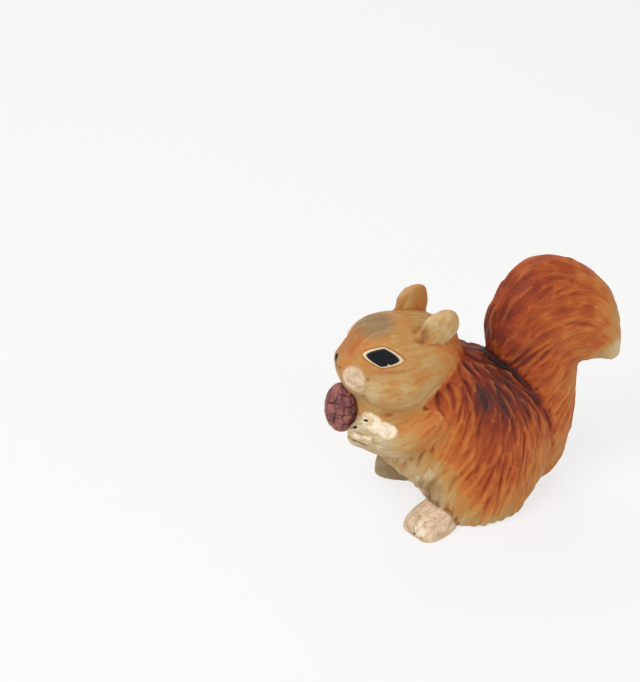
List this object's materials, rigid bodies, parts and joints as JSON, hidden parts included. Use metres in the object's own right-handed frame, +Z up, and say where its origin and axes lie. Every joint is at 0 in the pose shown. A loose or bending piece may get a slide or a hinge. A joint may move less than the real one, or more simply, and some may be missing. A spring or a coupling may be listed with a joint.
{
  "type": "squirrel figurine",
  "caption": "Carved and painted wooden squirrel that sits up on its haunches, tail raised behind it, and holds a walnut to its mouth.",
  "frame": {"origin": "on the surface that the squirrel sits on, on the middle line of its trunk and under its belly", "axes": "+Z up; the squirrel faces -Y and its tail is towards +Y; +X is its left side"},
  "size_m": [0.051, 0.1011, 0.0886],
  "materials": {
    "trunk_paint": "carved lime wood, painted in orange and red-brown strokes, satin",
    "head_paint": "carved lime wood, painted tan with a dark eye, satin",
    "tail_paint": "carved lime wood, painted in red-brown and orange strokes, satin",
    "ear_paint": "carved lime wood, painted tan, satin",
    "nut_paint": "carved lime wood, painted plum brown, satin",
    "foreleg_paint": "carved lime wood, painted cream to orange, satin",
    "foot_paint": "carved lime wood, painted greyish cream, satin",
    "dowel_wood": "plain turned beech, bare"
  },
  "bodies": {
    "root": {"trunk": "trunk_paint", "head": "head_paint", "tail": "tail_paint", "ear_left": "ear_paint", "ear_right": "ear_paint", "nut": "nut_paint", "foreleg_left": "foreleg_paint", "foreleg_right": "foreleg_paint", "hind_foot_left": "foot_paint", "hind_foot_right": "foot_paint", "neck_dowel": "dowel_wood", "tail_dowels": "dowel_wood", "ear_pegs": "dowel_wood", "foreleg_pegs": "dowel_wood", "foot_pegs": "dowel_wood", "nut_peg": "dowel_wood"}
  },
  "joints": []
}
